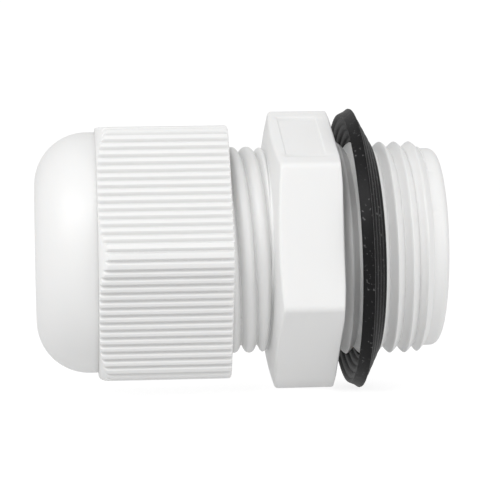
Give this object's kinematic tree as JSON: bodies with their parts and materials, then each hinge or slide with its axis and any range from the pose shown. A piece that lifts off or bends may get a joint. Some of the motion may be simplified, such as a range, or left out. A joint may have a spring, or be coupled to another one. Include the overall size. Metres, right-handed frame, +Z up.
{
  "type": "cable gland",
  "caption": "Plastic cable gland: a ribbed dome nut closes a claw and rubber sleeve on a cable; hexagon body with a threaded entry and a rubber gasket.",
  "frame": {"origin": "on the gland's axis, in the plane of the hexagon's sealing face", "axes": "+X along the axis towards the end of the entry thread, +Z up as the gland lies"},
  "size_m": [0.0385, 0.0269, 0.0269],
  "materials": {
    "white_nylon": "satin moulded nylon",
    "claw_nylon": "satin moulded nylon",
    "sleeve_rubber": "matte",
    "gasket_rubber": "satin"
  },
  "bodies": {
    "body": {"gland_body": "white_nylon", "claw_ring": "claw_nylon"},
    "sleeve": {"sealing_sleeve": "sleeve_rubber"},
    "nut": {"dome_nut": "white_nylon"},
    "gasket": {"flat_gasket": "gasket_rubber"},
    "claw_finger_01": {"claw_finger_01": "claw_nylon"},
    "claw_finger_02": {"claw_finger_02": "claw_nylon"},
    "claw_finger_03": {"claw_finger_03": "claw_nylon"},
    "claw_finger_04": {"claw_finger_04": "claw_nylon"},
    "claw_finger_05": {"claw_finger_05": "claw_nylon"},
    "claw_finger_06": {"claw_finger_06": "claw_nylon"},
    "claw_finger_07": {"claw_finger_07": "claw_nylon"},
    "claw_finger_08": {"claw_finger_08": "claw_nylon"},
    "claw_finger_09": {"claw_finger_09": "claw_nylon"},
    "claw_finger_10": {"claw_finger_10": "claw_nylon"}
  },
  "joints": [
    {"name": "nut_travel", "type": "slide", "parent": "body", "child": "sleeve", "axis": [1, 0, 0], "range_m": [-0.00311, 0.00341]},
    {"name": "nut_turn", "type": "hinge", "parent": "sleeve", "child": "nut", "pos_m": [-0.02, 0, 0], "axis": [1, 0, 0], "range_deg": [-372, 408]},
    {"name": "gasket_slide", "type": "slide", "parent": "body", "child": "gasket", "axis": [1, 0, 0], "range_m": [-0.0002, 0.005]},
    {"name": "finger_bend_01", "type": "hinge", "parent": "body", "child": "claw_finger_01", "pos_m": [-0.01427, 0, 0.00757], "axis": [0, -1, 0], "range_deg": [-4.31, 4.73]},
    {"name": "finger_bend_02", "type": "hinge", "parent": "body", "child": "claw_finger_02", "pos_m": [-0.01427, -0.00445, 0.00612], "axis": [0, -0.809, -0.5878], "range_deg": [-4.31, 4.73]},
    {"name": "finger_bend_03", "type": "hinge", "parent": "body", "child": "claw_finger_03", "pos_m": [-0.01427, -0.0072, 0.00234], "axis": [0, -0.309, -0.9511], "range_deg": [-4.31, 4.73]},
    {"name": "finger_bend_04", "type": "hinge", "parent": "body", "child": "claw_finger_04", "pos_m": [-0.01427, -0.0072, -0.00234], "axis": [0, 0.309, -0.9511], "range_deg": [-4.31, 4.73]},
    {"name": "finger_bend_05", "type": "hinge", "parent": "body", "child": "claw_finger_05", "pos_m": [-0.01427, -0.00445, -0.00612], "axis": [0, 0.809, -0.5878], "range_deg": [-4.31, 4.73]},
    {"name": "finger_bend_06", "type": "hinge", "parent": "body", "child": "claw_finger_06", "pos_m": [-0.01427, 0, -0.00757], "axis": [0, 1, 0], "range_deg": [-4.31, 4.73]},
    {"name": "finger_bend_07", "type": "hinge", "parent": "body", "child": "claw_finger_07", "pos_m": [-0.01427, 0.00445, -0.00612], "axis": [0, 0.809, 0.5878], "range_deg": [-4.31, 4.73]},
    {"name": "finger_bend_08", "type": "hinge", "parent": "body", "child": "claw_finger_08", "pos_m": [-0.01427, 0.0072, -0.00234], "axis": [0, 0.309, 0.9511], "range_deg": [-4.31, 4.73]},
    {"name": "finger_bend_09", "type": "hinge", "parent": "body", "child": "claw_finger_09", "pos_m": [-0.01427, 0.0072, 0.00234], "axis": [0, -0.309, 0.9511], "range_deg": [-4.31, 4.73]},
    {"name": "finger_bend_10", "type": "hinge", "parent": "body", "child": "claw_finger_10", "pos_m": [-0.01427, 0.00445, 0.00612], "axis": [0, -0.809, 0.5878], "range_deg": [-4.31, 4.73]}
  ],
  "couplings": [
    {"joint": "nut_travel", "follows": "nut_turn", "m_per_rad": 0.00047746},
    {"joint": "finger_bend_01", "follows": "nut_turn", "ratio": 0.011538},
    {"joint": "finger_bend_02", "follows": "nut_turn", "ratio": 0.011538},
    {"joint": "finger_bend_03", "follows": "nut_turn", "ratio": 0.011538},
    {"joint": "finger_bend_04", "follows": "nut_turn", "ratio": 0.011538},
    {"joint": "finger_bend_05", "follows": "nut_turn", "ratio": 0.011538},
    {"joint": "finger_bend_06", "follows": "nut_turn", "ratio": 0.011538},
    {"joint": "finger_bend_07", "follows": "nut_turn", "ratio": 0.011538},
    {"joint": "finger_bend_08", "follows": "nut_turn", "ratio": 0.011538},
    {"joint": "finger_bend_09", "follows": "nut_turn", "ratio": 0.011538},
    {"joint": "finger_bend_10", "follows": "nut_turn", "ratio": 0.011538}
  ]
}
